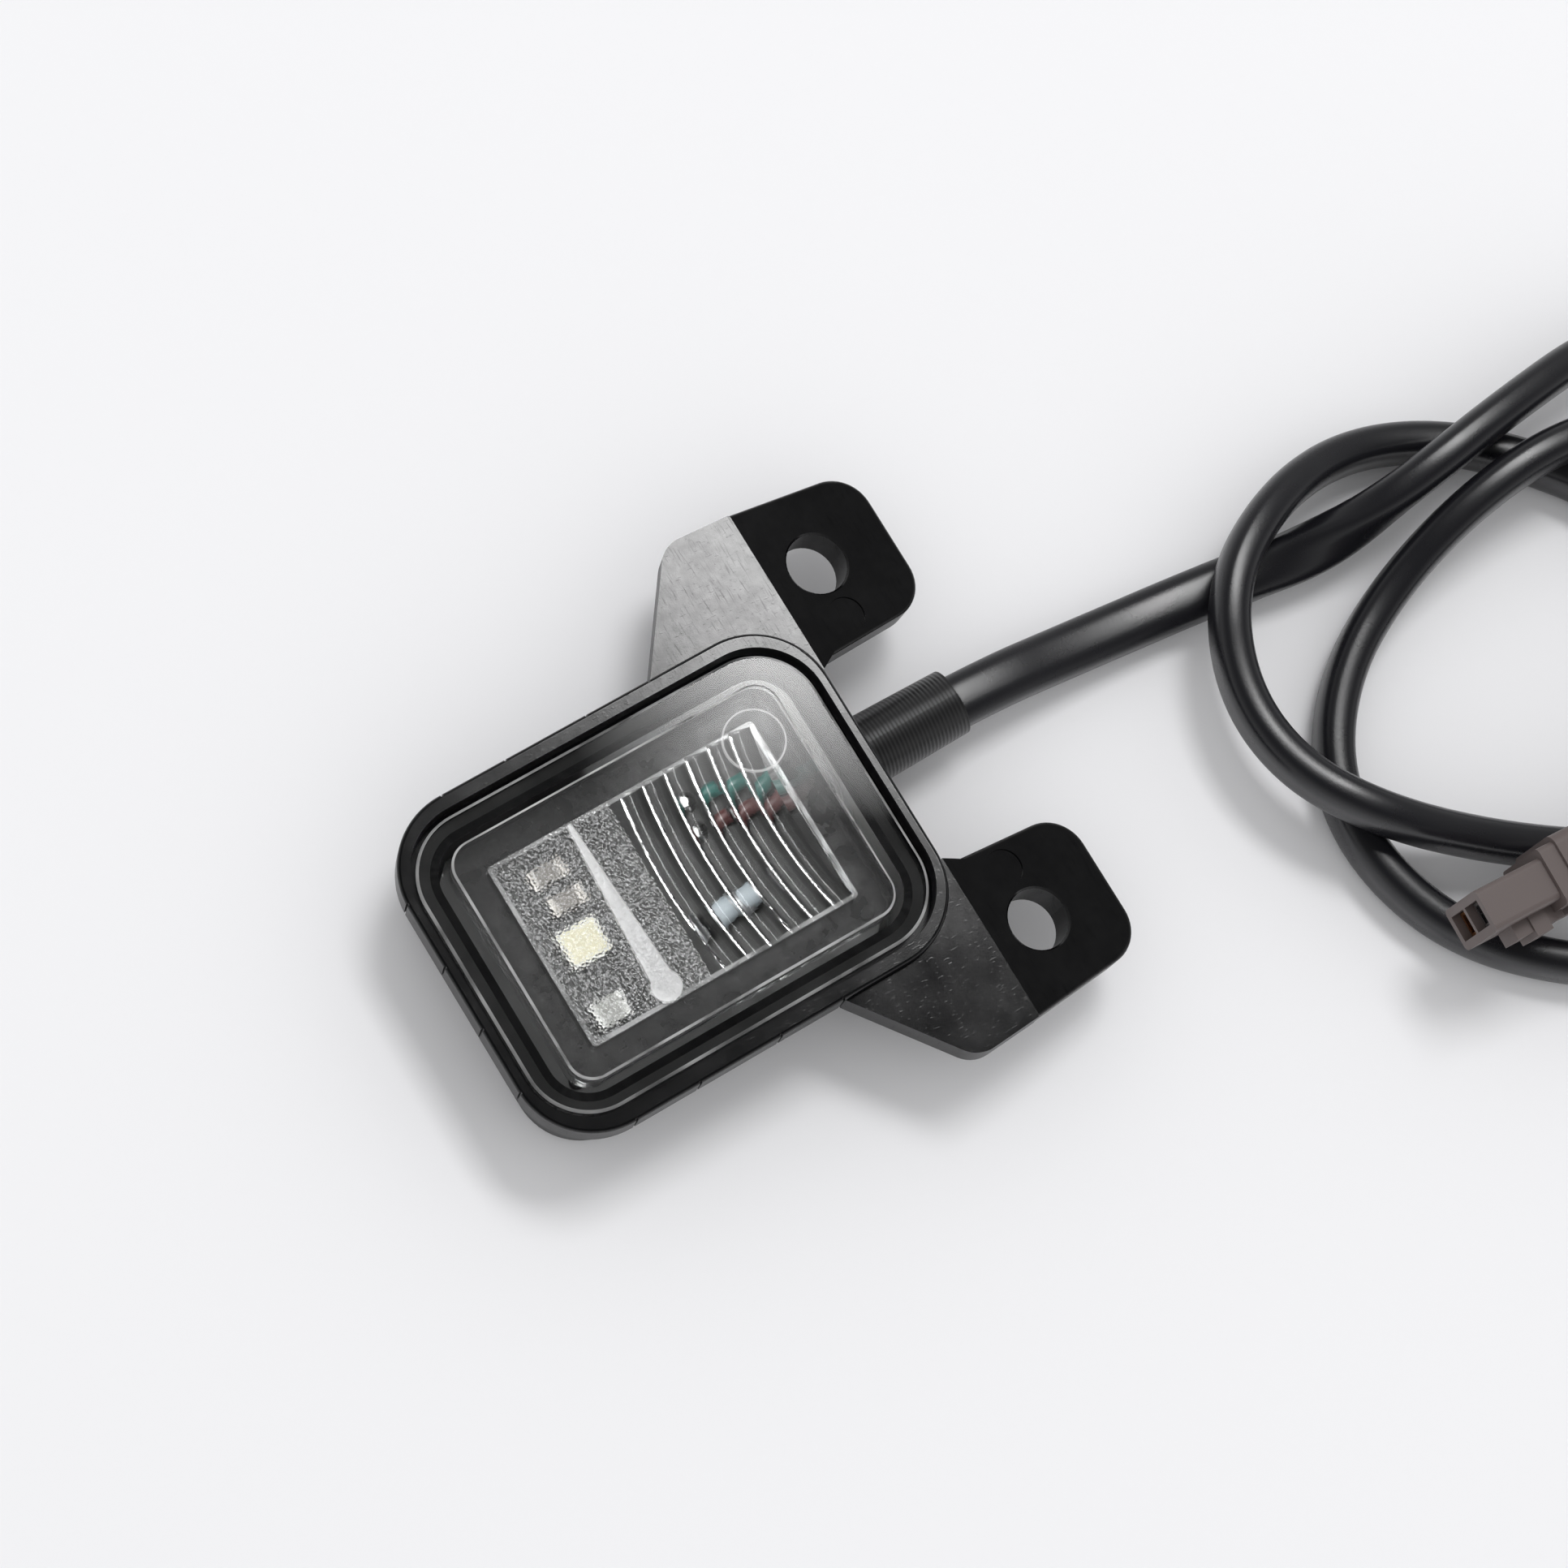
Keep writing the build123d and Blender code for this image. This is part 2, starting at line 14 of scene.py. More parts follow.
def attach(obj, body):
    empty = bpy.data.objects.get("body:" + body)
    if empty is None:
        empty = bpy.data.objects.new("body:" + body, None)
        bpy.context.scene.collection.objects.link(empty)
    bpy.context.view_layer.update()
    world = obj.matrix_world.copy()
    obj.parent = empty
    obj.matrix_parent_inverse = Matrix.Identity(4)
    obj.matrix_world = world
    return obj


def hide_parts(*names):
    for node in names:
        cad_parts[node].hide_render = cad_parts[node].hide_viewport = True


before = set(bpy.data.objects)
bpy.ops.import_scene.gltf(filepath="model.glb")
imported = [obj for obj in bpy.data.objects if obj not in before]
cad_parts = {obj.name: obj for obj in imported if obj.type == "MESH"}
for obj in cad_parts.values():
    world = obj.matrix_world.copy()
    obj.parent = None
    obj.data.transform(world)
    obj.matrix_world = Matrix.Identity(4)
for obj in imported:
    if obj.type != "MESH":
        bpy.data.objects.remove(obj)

bl_info = {
    "name": "Number Plate Lamp",
    "version": (1, 0, 0),
    "blender": (4, 5, 0),
    "location": "View3D > Sidebar > Plate Lamp",
    "description": "Dresses a number plate lamp with its materials, cable and stage",
    "category": "Object",
}

MM = 0.001

# Lens, in millimetres: heights, half sides of its window, the bar, the end of the stipple and the round pad
LENS_FOOT = 6.8
LENS_ROOF = 9.3
LENS_EDGES = 10.0
LENS_TOP = 10.8
WINDOW_HALF = (12.55, 8.4)
BAR_X = -4.9
BAR_HALF = 1.4
STIPPLE_END = -1.4
PAD_PLACE = (11.6, 6.7)
PAD_RADIUS = 2.65

# Where the finishes and the painted highlights of the lens fade in or out, in millimetres past the height,
# side or radius that they go with
ABOVE = (0.02, 0.06)
BELOW = (-0.12, -0.06)
PAST = (0.0, 0.05)
AROUND = (-0.2, 0.2)
BORDER = (-0.4, -0.3)
RING_INSIDE = (-0.2, -0.1)
RING_OUTSIDE = (0.02, 0.1)

# Patterns of the lens, in millimetres: cells and height of the stipple and of the ripples, specks in the
# stipple, breaks in the painted highlights and patches of the black painted as shade on the foot
STIPPLE_CELL = 0.24
STIPPLE_HEIGHT = 0.03
RIPPLE_PATCH = 0.3
RIPPLE_HEIGHT = 0.02
SPECK = 0.26
HIGHLIGHT_BREAK = 5.0
FOOT_SHADE_PATCH = 1.6

# Roughness of the smooth lens, and what each of its other finishes adds to it
LENS_ROUGHNESS = 0.02
SKIRT_ROUGHNESS = 0.02
FLUTE_ROUGHNESS = 0.06
STIPPLE_ROUGHNESS = 0.12
BAR_ROUGHNESS = 0.4

# Least and most share of white scatter in the finishes and painted highlights of the lens, and of black
# painted as shade on its foot
SPECK_SHARE = (0.0, 0.24)
BAR_SHARE = (0.45, 0.8)
EDGE_HIGHLIGHT_SHARE = (0.12, 0.6)
FRAME_HIGHLIGHT_SHARE = (0.4, 0.8)
PAD_HIGHLIGHT_SHARE = (0.0, 0.4)
FOOT_SHADE_SHARE = (0.55, 0.95)

# Patterns of the housing's plastic, in millimetres, with the stretch of those that run along an axis
SHEEN_PATCH = 5.0
WEAR_CLOUD = 0.9
STREAK = 0.11
STREAK_STRETCH = (1, 16, 16)
GRAIN = 0.12
SCRATCH = 0.07
SCRATCH_STRETCH = (9, 3, 9)
RELIEF = 0.01

# Gloss of the housing's faces and of its walls, and how much rougher the walls are
FACE_GLOSS = 0.56
WALL_GLOSS = 0.38
WALL_ROUGHER = 0.22

# Rings of the sleeve, in millimetres, and the length of one band of the wave pattern at a scale of one
RING_PITCH = 0.36
RING_HEIGHT = 0.04
WAVE_BAND = 0.314

# Small board parts, in millimetres along X: middle and half length of each body, and the edge of the tin
RESISTOR_UPPER = (-7.6, 1.1)
RESISTOR_LOWER = (-7.3, 1.1)
CAPACITOR = (-9.0, 1.0)
DIODE = (3.8, 1.3)
TIN_EDGE = (-0.02, 0.02)

# Softbox over the lamp: its sides, its height and where it fades in along X and Y.
# The edge along Y is slanted by the first number from the X that the second one gives.
SOFTBOX = ((0.30, 0.78), (0.0, 0.74), 1.5)
SOFTBOX_FADE_X = (0.33, 0.42)
SOFTBOX_FADE_Y = (0.21, 0.30)
SOFTBOX_SLANT = (0.6, 0.41)
FLOOR_HALF = 3.0

# Surroundings that mirrored and refracted rays see: the heights between which they darken, and the
# strengths there
HORIZON_HEIGHT = (0.2, 0.85)
HORIZON_STRENGTH = (0.6, 0.06)

# Camera: focal length and sensor in millimetres, nearest and farthest sight, place, and the columns right, up
# and back
CAMERA_LENS = 99.93
CAMERA_SENSOR = 36.0
CAMERA_CLIP = (0.01, 10.0)
CAMERA_PLACE = (-0.07663, -0.04978, 0.34846)
CAMERA_TURN = ((0.8429, 0.4761, -0.2507), (-0.5193, 0.8417, -0.1478), (0.1406, 0.2548, 0.9567))

# Cable: where it leaves the sleeve, its quarter turn, its round end and the points round and along it
CABLE_TURN_START = 0.040
CABLE_TURN_LENGTH = 0.020
CABLE_ROUND_START = 0.016
CABLE_ROUND_LENGTH = 0.010
CABLE_ROUND_RADIUS = 0.0020
CABLE_SQUARENESS = 2.9
CABLE_SIDES = 36
CABLE_STEPS = 14

# Route of the cable, in millimetres, as in the source of the part
CABLE_ROUTE = (
    (15.9, 2.4, 4.75),
    (30.5, 2.4, 4.75),
    (43.0, 1.5, 2.5),
    (55.5, 0.2, 2.3),
    (65.5, -1.6, 3.8),
    (74.5, -1.0, 7.3),
    (84.5, 0.5, 7.4),
    (96.0, 1.8, 5.6),
    (107.5, 0.2, 2.9),
    (117.0, -7.5, 2.3),
    (121.0, -19.0, 2.4),
    (118.0, -31.0, 2.3),
    (109.5, -40.5, 2.4),
    (98.0, -46.8, 2.3),
    (85.5, -49.6, 2.4),
    (73.5, -48.2, 2.3),
    (63.8, -42.8, 2.4),
    (56.8, -35.4, 2.3),
    (54.0, -26.6, 2.4),
    (55.2, -18.6, 2.3),
    (60.6, -11.8, 2.5),
    (68.4, -7.5, 3.2),
    (77.4, -4.9, 6.6),
    (88.0, -4.1, 7.3),
    (98.5, -7.0, 5.4),
    (106.0, -14.2, 2.7),
    (107.6, -24.4, 2.3),
    (102.4, -33.2, 2.4),
    (93.0, -38.8, 2.3),
    (82.6, -40.0, 2.4),
    (72.8, -36.6, 2.7),
    (63.6, -30.8, 4.2),
    (55.4, -24.4, 7.2),
    (51.0, -17.0, 6.7),
    (50.7, -8.8, 6.4),
    (54.6, -0.8, 7.1),
    (62.6, 3.8, 6.2),
    (71.6, 5.0, 3.4),
    (80.0, 2.0, 2.3),
    (86.6, -4.0, 2.4),
    (91.8, -11.2, 2.6),
    (94.4, -20.0, 3.5),
    (92.9, -28.8, 5.4),
    (86.6, -35.0, 7.2),
    (78.34, -36.91, 8.14),
    (68.45, -36.39, 9.54),
)


def linear(code):
    """Linear RGBA of an sRGB hex colour."""
    parts = [int(code[i : i + 2], 16) / 255 for i in (1, 3, 5)]
    return (*[p / 12.92 if p <= 0.04045 else ((p + 0.055) / 1.055) ** 2.4 for p in parts], 1.0)


def add(tree, kind, props=None, values=None, links=None):
    """Add a node with its properties, socket values and links; a linked node gives its first output."""
    made = tree.nodes.new(kind)
    for key, value in (props or {}).items():
        setattr(made, key, value)
    for key, value in (values or {}).items():
        made.inputs[key].default_value = value
    for key, source in (links or {}).items():
        socket = source.outputs[0] if isinstance(source, bpy.types.Node) else source
        tree.links.new(socket, made.inputs[key])
    return made


def span(low, high, start=0.0, stop=1.0):
    """Socket values that carry low..high over to start..stop."""
    return {"From Min": low, "From Max": high, "To Min": start, "To Max": stop}


def fade(place_mm, reach_mm, start=0.0, stop=1.0):
    """Socket values that carry a reach past a place, both in millimetres, over to start..stop."""
    low, high = reach_mm
    return span((place_mm + low) * MM, (place_mm + high) * MM, start, stop)


def bare(name):
    """A new material without nodes; returns the material and its tree."""
    made = bpy.data.materials.new(name)
    made.use_nodes = True
    made.node_tree.nodes.clear()
    return made, made.node_tree


def patches(tree, size_mm, stretch=(1, 1, 1), detail=4.0):
    """Uneven patches of a real size in millimetres, stretched along the axes and fixed to the piece."""
    place = add(tree, "ShaderNodeTexCoord").outputs["Object"]
    scale = tuple(1 / (MM * size_mm * s) for s in stretch)
    scaled = add(tree, "ShaderNodeMapping", values={"Scale": scale}, links={"Vector": place})
    return add(tree, "ShaderNodeTexNoise", values={"Scale": 1.0, "Detail": detail}, links={"Vector": scaled})


def moulded(name, colour, rough, grain_mm, height_mm, spread=0.06, gloss=0.5):
    """Moulded plastic or rubber: one colour, a fine grain, and a sheen whose roughness changes by the spread
    over about 4 mm."""
    made, tree = bare(name)
    broad = patches(tree, 4.0)
    limits = span(0.35, 0.65, rough - spread, rough + spread)
    uneven = add(tree, "ShaderNodeMapRange", values=limits, links={"Value": broad})
    bump = add(
        tree,
        "ShaderNodeBump",
        values={"Strength": 0.6, "Distance": height_mm * MM},
        links={"Height": patches(tree, grain_mm)},
    )
    shader = add(
        tree,
        "ShaderNodeBsdfPrincipled",
        values={"Base Color": colour, "Specular IOR Level": gloss},
        links={"Roughness": uneven, "Normal": bump},
    )
    add(tree, "ShaderNodeOutputMaterial", links={"Surface": shader})
    return made


def sleeve_rubber():
    """Moulded rubber with fine rings round the X axis, about a third of a millimetre apart: a dull, ribbed
    black. The rings are drawn coarser than the real tool marks, which are too fine to show."""
    made, tree = bare("black_moulded_sleeve_rubber")
    place = add(tree, "ShaderNodeTexCoord").outputs["Object"]
    scale = WAVE_BAND / (RING_PITCH * MM)
    rings = add(
        tree,
        "ShaderNodeTexWave",
        props={"wave_type": "BANDS", "bands_direction": "X"},
        values={"Scale": scale, "Distortion": 0.6, "Detail": 2.0, "Detail Scale": 3.0},
        links={"Vector": place},
    )
    bump = add(
        tree,
        "ShaderNodeBump",
        values={"Strength": 0.7, "Distance": RING_HEIGHT * MM},
        links={"Height": rings.outputs["Fac"]},
    )
    shader = add(
        tree,
        "ShaderNodeBsdfPrincipled",
        values={"Base Color": linear("#131314"), "Roughness": 0.35, "Specular IOR Level": 0.7},
        links={"Normal": bump},
    )
    add(tree, "ShaderNodeOutputMaterial", links={"Surface": shader})
    return made


def housing_plastic(settings):
    """Black moulded plastic, handled and lightly scratched: faces that look up have a satin sheen that the
    scratches dim in streaks, and the walls are duller."""
    made, tree = bare("black_moulded_plastic")
    rough = settings.housing_roughness
    limits = span(0.3, 0.7, rough - 0.02, rough + 0.03)
    uneven = add(tree, "ShaderNodeMapRange", values=limits, links={"Value": patches(tree, SHEEN_PATCH)})
    face = add(tree, "ShaderNodeNewGeometry").outputs["Normal"]
    facing = add(tree, "ShaderNodeSeparateXYZ", links={"Vector": face}).outputs["Z"]
    slope = add(tree, "ShaderNodeMath", {"operation": "ABSOLUTE"}, links={0: facing})
    wall = add(tree, "ShaderNodeMapRange", values=span(0.3, 0.6, 1.0, 0.0), links={"Value": slope})
    matt = add(tree, "ShaderNodeMath", {"operation": "MULTIPLY_ADD"}, {1: WALL_ROUGHER}, {0: wall, 2: uneven})
    streaks = patches(tree, STREAK, STREAK_STRETCH, 3.0)
    dimmed = add(tree, "ShaderNodeMapRange", values=span(0.58, 0.7, 1.0, 0.68), links={"Value": streaks})
    clouds = patches(tree, WEAR_CLOUD)
    cloudy = add(tree, "ShaderNodeMapRange", values=span(0.3, 0.7, 0.86, 1.06), links={"Value": clouds})
    worn = add(tree, "ShaderNodeMath", {"operation": "MULTIPLY"}, links={0: dimmed, 1: cloudy})
    limits = span(0.0, 1.0, FACE_GLOSS, WALL_GLOSS)
    level = add(tree, "ShaderNodeMapRange", values=limits, links={"Value": wall})
    sheen = add(tree, "ShaderNodeMath", {"operation": "MULTIPLY"}, links={0: level, 1: worn})
    grain = add(
        tree,
        "ShaderNodeBump",
        values={"Strength": 0.12, "Distance": RELIEF * MM},
        links={"Height": patches(tree, GRAIN)},
    )
    marks = patches(tree, SCRATCH, SCRATCH_STRETCH, 3.0)
    lines = add(tree, "ShaderNodeMapRange", values=span(0.62, 0.72), links={"Value": marks})
    scratched = add(
        tree,
        "ShaderNodeBump",
        values={"Strength": 0.15, "Distance": RELIEF * MM},
        links={"Height": lines, "Normal": grain},
    )
    shader = add(
        tree,
        "ShaderNodeBsdfPrincipled",
        values={"Base Color": tuple(settings.housing_colour)},
        links={"Roughness": matt, "Specular IOR Level": sheen, "Normal": scratched},
    )
    add(tree, "ShaderNodeOutputMaterial", links={"Surface": shader})
    return made


def lens_plastic():
    """Clear moulded acrylic: sharp and glossy above, stippled under one end of its roof, with a white bar and
    rippled flutes. Highlights are painted along its upper bevels, round its window and round the pad, and
    its foot is painted black as shade. Light passes it for shadows."""
    made, tree = bare("clear_moulded_acrylic")
    place = add(tree, "ShaderNodeTexCoord").outputs["Object"]
    parts = add(tree, "ShaderNodeSeparateXYZ", links={"Vector": place})
    x, y, z = (parts.outputs[key] for key in "XYZ")
    long = add(tree, "ShaderNodeMath", {"operation": "ABSOLUTE"}, links={0: x})
    wide = add(tree, "ShaderNodeMath", {"operation": "ABSOLUTE"}, links={0: y})

    # Where a point lies: on or under the roof, left or right of the stipple's end, in or out of the window
    low = add(tree, "ShaderNodeMapRange", values=fade(LENS_ROOF, ABOVE, 1.0, 0.0), links={"Value": z})
    under = add(tree, "ShaderNodeMapRange", values=fade(LENS_ROOF, BELOW, 1.0, 0.0), links={"Value": z})
    right = add(tree, "ShaderNodeMapRange", values=fade(STIPPLE_END, AROUND), links={"Value": x})
    left = add(tree, "ShaderNodeMath", {"operation": "SUBTRACT"}, {0: 1.0}, {1: right})
    past_end = add(tree, "ShaderNodeMapRange", values=fade(WINDOW_HALF[0], PAST), links={"Value": long})
    past_side = add(tree, "ShaderNodeMapRange", values=fade(WINDOW_HALF[1], PAST), links={"Value": wide})
    outside = add(tree, "ShaderNodeMath", {"operation": "MAXIMUM"}, links={0: past_side, 1: past_end})
    window = add(tree, "ShaderNodeMath", {"operation": "SUBTRACT"}, {0: 1.0}, {1: outside})
    low_window = add(tree, "ShaderNodeMath", {"operation": "MULTIPLY"}, links={0: low, 1: window})
    roof = add(tree, "ShaderNodeMath", {"operation": "MULTIPLY"}, links={0: low_window, 1: left})
    skirt = add(tree, "ShaderNodeMath", {"operation": "MULTIPLY"}, links={0: under, 1: outside})
    flutes = add(tree, "ShaderNodeMath", {"operation": "MULTIPLY"}, links={0: under, 1: right})
    fluted = add(tree, "ShaderNodeMath", {"operation": "MULTIPLY"}, links={0: flutes, 1: window})
    # A bar under the roof at BAR_X, drawn white and rougher than the rest of the lens
    away = add(tree, "ShaderNodeMath", {"operation": "SUBTRACT"}, {1: BAR_X * MM}, {0: x})
    off = add(tree, "ShaderNodeMath", {"operation": "ABSOLUTE"}, links={0: away})
    near = add(tree, "ShaderNodeMapRange", values=fade(BAR_HALF, PAST, 1.0, 0.0), links={"Value": off})
    inner = add(tree, "ShaderNodeMath", {"operation": "SUBTRACT"}, {0: 1.0}, {1: past_side})
    under_bar = add(tree, "ShaderNodeMath", {"operation": "MULTIPLY"}, links={0: under, 1: near})
    bar = add(tree, "ShaderNodeMath", {"operation": "MULTIPLY"}, links={0: under_bar, 1: inner})

    # Stipple, drawn coarser than the real spark-eroded grain so that it shows, and ripples
    scale = 1 / (STIPPLE_CELL * MM)
    cells = add(tree, "ShaderNodeTexVoronoi", values={"Scale": scale}, links={"Vector": place})
    stippled = add(
        tree,
        "ShaderNodeBump",
        values={"Distance": STIPPLE_HEIGHT * MM},
        links={"Height": cells, "Strength": roof},
    )
    rippled = add(
        tree,
        "ShaderNodeBump",
        values={"Distance": RIPPLE_HEIGHT * MM},
        links={"Height": patches(tree, RIPPLE_PATCH), "Strength": fluted, "Normal": stippled},
    )
    more = {"operation": "MULTIPLY_ADD"}
    dull = add(tree, "ShaderNodeMath", more, {1: SKIRT_ROUGHNESS, 2: LENS_ROUGHNESS}, {0: skirt})
    dull = add(tree, "ShaderNodeMath", more, {1: FLUTE_ROUGHNESS}, {0: flutes, 2: dull})
    dull = add(tree, "ShaderNodeMath", more, {1: STIPPLE_ROUGHNESS}, {0: roof, 2: dull})
    dull = add(tree, "ShaderNodeMath", more, {1: BAR_ROUGHNESS}, {0: bar, 2: dull})
    clear = add(
        tree,
        "ShaderNodeBsdfPrincipled",
        values={"Base Color": linear("#fafbfb"), "Transmission Weight": 1.0, "IOR": 1.49},
        links={"Roughness": dull, "Normal": rippled},
    )

    # Share of white scatter: specks in the stipple and the bar, and painted highlights along the upper
    # bevels, round the window and round the pad
    specks = patches(tree, SPECK, detail=1.0)
    grain = add(tree, "ShaderNodeMapRange", values=span(0.48, 0.68, *SPECK_SHARE), links={"Value": specks})
    speckled = add(tree, "ShaderNodeMath", {"operation": "MULTIPLY"}, links={0: roof, 1: grain})
    mottle = add(tree, "ShaderNodeMapRange", values=span(0.1, 0.6, *BAR_SHARE), links={"Value": cells})
    share = add(tree, "ShaderNodeMath", {"operation": "MULTIPLY_ADD"}, links={0: bar, 1: mottle, 2: speckled})
    # Painted highlight: pale scatter on the slanted upper bevels, fading in patches, stands in for light
    # caught there
    face = add(tree, "ShaderNodeNewGeometry").outputs["True Normal"]
    facing = add(tree, "ShaderNodeSeparateXYZ", links={"Vector": face}).outputs["Z"]
    slope = add(tree, "ShaderNodeMath", {"operation": "ABSOLUTE"}, links={0: facing})
    steep = add(tree, "ShaderNodeMapRange", values=span(0.35, 0.45), links={"Value": slope})
    flat = add(tree, "ShaderNodeMapRange", values=span(0.9, 0.97, 1.0, 0.0), links={"Value": slope})
    slanted = add(tree, "ShaderNodeMath", {"operation": "MULTIPLY"}, links={0: steep, 1: flat})
    upper = add(tree, "ShaderNodeMapRange", values=fade(LENS_EDGES, PAST), links={"Value": z})
    bevels = add(tree, "ShaderNodeMath", {"operation": "MULTIPLY"}, links={0: slanted, 1: upper})
    slow = patches(tree, HIGHLIGHT_BREAK, detail=2.0)
    highlight_breaks = add(tree, "ShaderNodeMapRange", values=span(0.35, 0.65, *EDGE_HIGHLIGHT_SHARE), links={"Value": slow})
    edge_highlights = add(tree, "ShaderNodeMath", {"operation": "MULTIPLY"}, links={0: bevels, 1: highlight_breaks})
    # Painted highlight: a patchy pale line round the rim of the window
    at_end = add(tree, "ShaderNodeMapRange", values=fade(WINDOW_HALF[0], BORDER), links={"Value": long})
    at_side = add(tree, "ShaderNodeMapRange", values=fade(WINDOW_HALF[1], BORDER), links={"Value": wide})
    close = add(tree, "ShaderNodeMath", {"operation": "MAXIMUM"}, links={0: at_end, 1: at_side})
    border = add(tree, "ShaderNodeMath", {"operation": "MULTIPLY"}, links={0: close, 1: low_window})
    faint = add(tree, "ShaderNodeMapRange", values=span(0.0, 1.0, *FRAME_HIGHLIGHT_SHARE), links={"Value": highlight_breaks})
    uneven = add(tree, "ShaderNodeMath", {"operation": "MULTIPLY"}, links={0: highlight_breaks, 1: faint})
    frame_highlight = add(tree, "ShaderNodeMath", {"operation": "MULTIPLY"}, links={0: border, 1: uneven})
    # Painted highlight: a pale ring round the round pad on the top
    flat_place = add(tree, "ShaderNodeCombineXYZ", links={"X": x, "Y": y})
    centre = (PAD_PLACE[0] * MM, PAD_PLACE[1] * MM, 0.0)
    apart = add(tree, "ShaderNodeVectorMath", {"operation": "DISTANCE"}, {1: centre}, {0: flat_place})
    reach = apart.outputs["Value"]
    limits = fade(PAD_RADIUS, RING_INSIDE, *PAD_HIGHLIGHT_SHARE)
    rising = add(tree, "ShaderNodeMapRange", values=limits, links={"Value": reach})
    limits = fade(PAD_RADIUS, RING_OUTSIDE, 1.0, 0.0)
    falling = add(tree, "ShaderNodeMapRange", values=limits, links={"Value": reach})
    ring = add(tree, "ShaderNodeMath", {"operation": "MULTIPLY"}, links={0: rising, 1: falling})
    top = add(tree, "ShaderNodeMapRange", values=fade(LENS_TOP, PAST), links={"Value": z})
    pad_highlight = add(tree, "ShaderNodeMath", {"operation": "MULTIPLY"}, links={0: ring, 1: top})
    white = add(tree, "ShaderNodeMath", {"operation": "MAXIMUM"}, links={0: share, 1: edge_highlights})
    white = add(tree, "ShaderNodeMath", {"operation": "MAXIMUM"}, links={0: white, 1: frame_highlight})
    white = add(tree, "ShaderNodeMath", {"operation": "MAXIMUM"}, links={0: white, 1: pad_highlight})
    # Pale scatter for the stipple and the bar, and for the painted highlights
    scatter_and_highlight = add(
        tree,
        "ShaderNodeBsdfPrincipled",
        values={"Base Color": linear("#fbfbfb"), "Roughness": 0.5},
    )
    body = add(tree, "ShaderNodeMixShader", links={0: white, 1: clear, 2: scatter_and_highlight})

    # Patchy black painted on the foot as shade, and clear passage for shadow rays
    foot = add(tree, "ShaderNodeMapRange", values=fade(LENS_FOOT, ABOVE, 1.0, 0.0), links={"Value": z})
    foot_shade_patches = patches(tree, FOOT_SHADE_PATCH)
    patchy = add(tree, "ShaderNodeMapRange", values=span(0.35, 0.65, *FOOT_SHADE_SHARE), links={"Value": foot_shade_patches})
    painted_foot_shade = add(tree, "ShaderNodeMath", {"operation": "MULTIPLY"}, links={0: foot, 1: patchy})
    black = add(
        tree,
        "ShaderNodeBsdfPrincipled",
        values={"Base Color": linear("#0a0a0a"), "Roughness": 0.6},
    )
    seated = add(tree, "ShaderNodeMixShader", links={0: painted_foot_shade, 1: body, 2: black})
    rays = add(tree, "ShaderNodeLightPath")
    passed = add(tree, "ShaderNodeBsdfTransparent", values={"Color": linear("#ffffff")})
    whole = add(
        tree,
        "ShaderNodeMixShader",
        links={0: rays.outputs["Is Shadow Ray"], 1: seated, 2: passed},
    )
    add(tree, "ShaderNodeOutputMaterial", links={"Surface": whole})
    return made


def bare_metal(name, colour, rough):
    """Bare metal: a bright face whose gloss changes a little over 0.8 mm."""
    made, tree = bare(name)
    limits = span(0.3, 0.7, rough - 0.05, rough + 0.08)
    uneven = add(tree, "ShaderNodeMapRange", values=limits, links={"Value": patches(tree, 0.8)})
    shader = add(
        tree,
        "ShaderNodeBsdfPrincipled",
        values={"Base Color": colour, "Metallic": 1.0},
        links={"Roughness": uneven},
    )
    add(tree, "ShaderNodeOutputMaterial", links={"Surface": shader})
    return made


def tinned_chip(name, body, ends, middle_mm, half_mm):
    """Fired ceramic or glass chip: a dull body, with tinned metal beyond half_mm from its middle along X."""
    made, tree = bare(name)
    place = add(tree, "ShaderNodeTexCoord").outputs["Object"]
    x = add(tree, "ShaderNodeSeparateXYZ", links={"Vector": place}).outputs["X"]
    away = add(tree, "ShaderNodeMath", {"operation": "SUBTRACT"}, {1: middle_mm * MM}, {0: x})
    size = add(tree, "ShaderNodeMath", {"operation": "ABSOLUTE"}, links={0: away})
    end = add(tree, "ShaderNodeMapRange", values=fade(half_mm, TIN_EDGE), links={"Value": size})
    colour = add(tree, "ShaderNodeMix", {"data_type": "RGBA"}, {6: body, 7: ends}, {0: end})
    shader = add(
        tree,
        "ShaderNodeBsdfPrincipled",
        values={"Roughness": 0.5},
        links={"Base Color": colour.outputs[2], "Metallic": end},
    )
    add(tree, "ShaderNodeOutputMaterial", links={"Surface": shader})
    return made


def dress(name, material):
    """Give a CAD node its material."""
    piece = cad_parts[name]
    piece.data.materials.clear()
    piece.data.materials.append(material)


def new_mesh(name, points, faces, material, smooth):
    """A mesh object from points and faces, at the origin."""
    mesh = bpy.data.meshes.new(name)
    mesh.from_pydata(points.tolist(), [], faces)
    mesh.polygons.foreach_set("use_smooth", np.full(len(mesh.polygons), smooth))
    mesh.update()
    mesh.materials.append(material)
    made = bpy.data.objects.new(name, mesh)
    bpy.context.scene.collection.objects.link(made)
    return made


def cable_line():
    """Points along the cable: a quadratic spline that the route's points pull along."""
    curve = bpy.data.curves.new("cable_line", "CURVE")
    curve.dimensions = "3D"
    curve.resolution_u = CABLE_STEPS
    spline = curve.splines.new("NURBS")
    spline.points.add(len(CABLE_ROUTE) - 1)
    for point, place in zip(spline.points, CABLE_ROUTE):
        point.co = (*[MM * c for c in place], 1.0)
    spline.order_u = 3
    spline.use_endpoint_u = True
    holder = bpy.data.objects.new("cable_line", curve)
    mesh = bpy.data.meshes.new_from_object(holder)
    points = np.zeros(3 * len(mesh.vertices))
    mesh.vertices.foreach_get("co", points)
    bpy.data.objects.remove(holder)
    bpy.data.meshes.remove(mesh)
    bpy.data.curves.remove(curve)
    return points.reshape(-1, 3)


